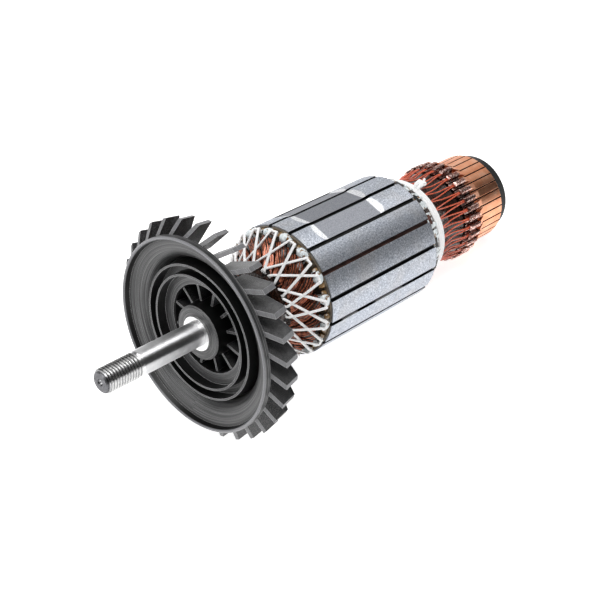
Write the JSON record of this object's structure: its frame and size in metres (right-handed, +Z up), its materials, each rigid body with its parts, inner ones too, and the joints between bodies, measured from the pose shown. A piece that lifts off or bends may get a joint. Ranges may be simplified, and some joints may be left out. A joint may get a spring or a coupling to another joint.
{
  "type": "motor armature",
  "caption": "Wound armature of a commutator motor: threaded shaft, cooling fan, slotted laminated core, laced coils and copper commutator.",
  "frame": {"origin": "middle of the footprint on the surface that the armature lies on", "axes": "+X along the shaft from the threaded end to the commutator end, seen from above; +Z up; the shaft dips 8.8 degrees towards the commutator, as the armature lies on its fan"},
  "size_m": [0.2316, 0.0904, 0.089],
  "materials": {
    "shaft_steel": "ground",
    "fan_nylon": "moulded, satin",
    "core_steel": "turned laminations",
    "fibre_board": "matt",
    "liner_paper": "matt, varnished",
    "wedge_fibre": "varnished",
    "enamelled_copper": "enamelled and varnished",
    "black_resin": "satin",
    "lacing_cord": "twisted cord",
    "bar_copper": "turned copper"
  },
  "bodies": {
    "root": {"shaft": "shaft_steel", "fan_spacer": "shaft_steel", "fan": "fan_nylon", "laminated_core": "core_steel", "front_end_disc": "fibre_board", "rear_end_disc": "fibre_board", "slot_liners": "liner_paper", "slot_wedges": "wedge_fibre", "slot_wires": "enamelled_copper", "front_shaft_sleeve": "black_resin", "rear_shaft_sleeve": "black_resin", "front_coils": "enamelled_copper", "front_lacing": "lacing_cord", "rear_coils": "enamelled_copper", "rear_band": "lacing_cord", "band_knot": "lacing_cord", "lead_wires": "enamelled_copper", "commutator_moulding": "black_resin", "commutator_bush": "shaft_steel", "commutator_bar_01": "bar_copper", "commutator_bar_02": "bar_copper", "commutator_bar_03": "bar_copper", "commutator_bar_04": "bar_copper", "commutator_bar_05": "bar_copper", "commutator_bar_06": "bar_copper", "commutator_bar_07": "bar_copper", "commutator_bar_08": "bar_copper", "commutator_bar_09": "bar_copper", "commutator_bar_10": "bar_copper", "commutator_bar_11": "bar_copper", "commutator_bar_12": "bar_copper", "commutator_bar_13": "bar_copper", "commutator_bar_14": "bar_copper", "commutator_bar_15": "bar_copper", "commutator_bar_16": "bar_copper", "commutator_bar_17": "bar_copper", "commutator_bar_18": "bar_copper", "commutator_bar_19": "bar_copper", "commutator_bar_20": "bar_copper", "commutator_bar_21": "bar_copper", "commutator_bar_22": "bar_copper", "commutator_bar_23": "bar_copper", "commutator_bar_24": "bar_copper", "commutator_bar_25": "bar_copper", "commutator_bar_26": "bar_copper", "commutator_bar_27": "bar_copper", "commutator_bar_28": "bar_copper", "commutator_bar_29": "bar_copper", "commutator_bar_30": "bar_copper", "commutator_bar_31": "bar_copper", "commutator_bar_32": "bar_copper"}
  },
  "joints": []
}
